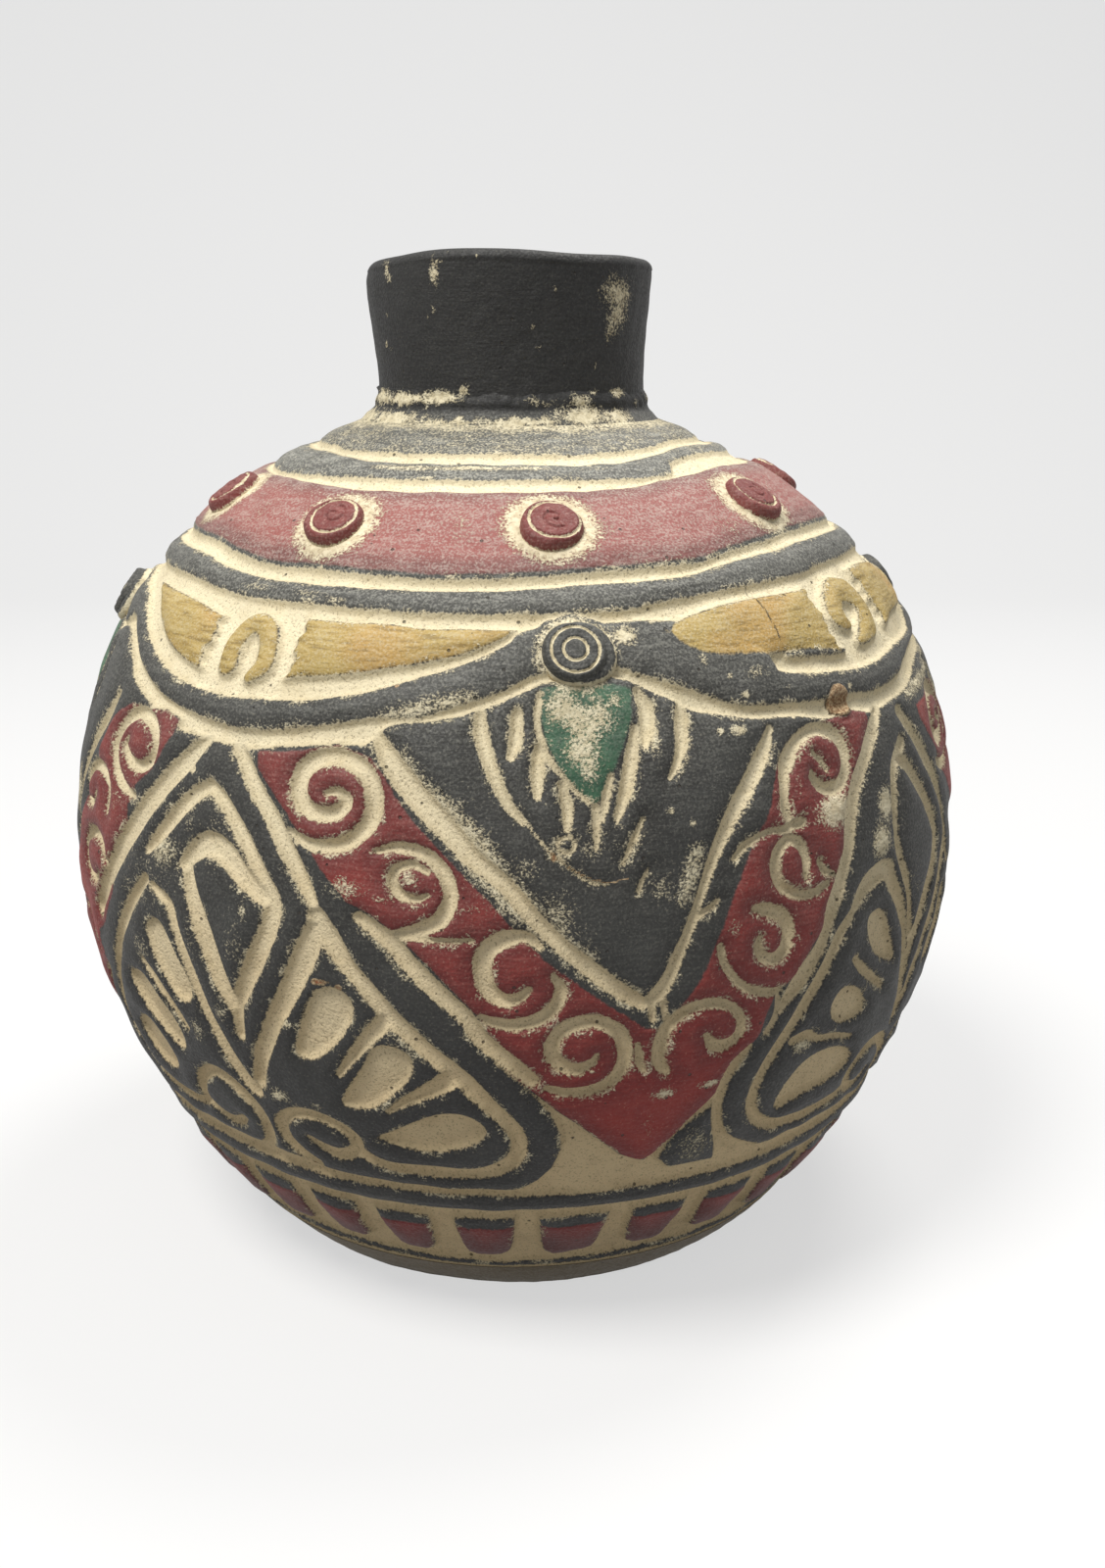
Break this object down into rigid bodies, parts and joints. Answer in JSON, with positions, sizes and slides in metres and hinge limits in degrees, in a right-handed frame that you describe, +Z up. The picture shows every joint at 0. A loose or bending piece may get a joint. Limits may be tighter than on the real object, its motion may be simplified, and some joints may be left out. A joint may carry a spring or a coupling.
{
  "type": "terracotta vase",
  "caption": "Round-bellied hand-built terracotta vase with a short straight neck, carved and slip-painted bands, pressed bosses and medallions.",
  "frame": {"origin": "centre of the foot's underside", "axes": "+Z up along the vase's axis, the pictured side faces -Y"},
  "size_m": [0.1996, 0.1996, 0.2135],
  "materials": {
    "carved_slip": "matte unglazed clay, carved lines filled with cream slip between charcoal, red, ochre and green slip",
    "cream_wash": "matte cream slip, dusty and pinholed",
    "charcoal_slip": "matte charcoal slip, dusty, worn at the rim",
    "red_slip": "matte iron-red slip under cream dust",
    "bare_clay": "matte tan clay, unglazed"
  },
  "bodies": {
    "root": {"base_disc": "bare_clay", "body_shell": "carved_slip", "neck_collar": "charcoal_slip", "neck_luting_coil": "cream_wash", "shoulder_boss_1": "red_slip", "shoulder_boss_2": "red_slip", "shoulder_boss_3": "red_slip", "shoulder_boss_4": "red_slip", "shoulder_boss_5": "red_slip", "shoulder_boss_6": "red_slip", "shoulder_boss_7": "red_slip", "shoulder_boss_8": "red_slip", "medallion_back_1": "charcoal_slip", "medallion_back_2": "charcoal_slip", "medallion_back_3": "charcoal_slip", "medallion_back_4": "charcoal_slip", "medallion_button_1": "charcoal_slip", "medallion_button_2": "charcoal_slip", "medallion_button_3": "charcoal_slip", "medallion_button_4": "charcoal_slip"}
  },
  "joints": []
}
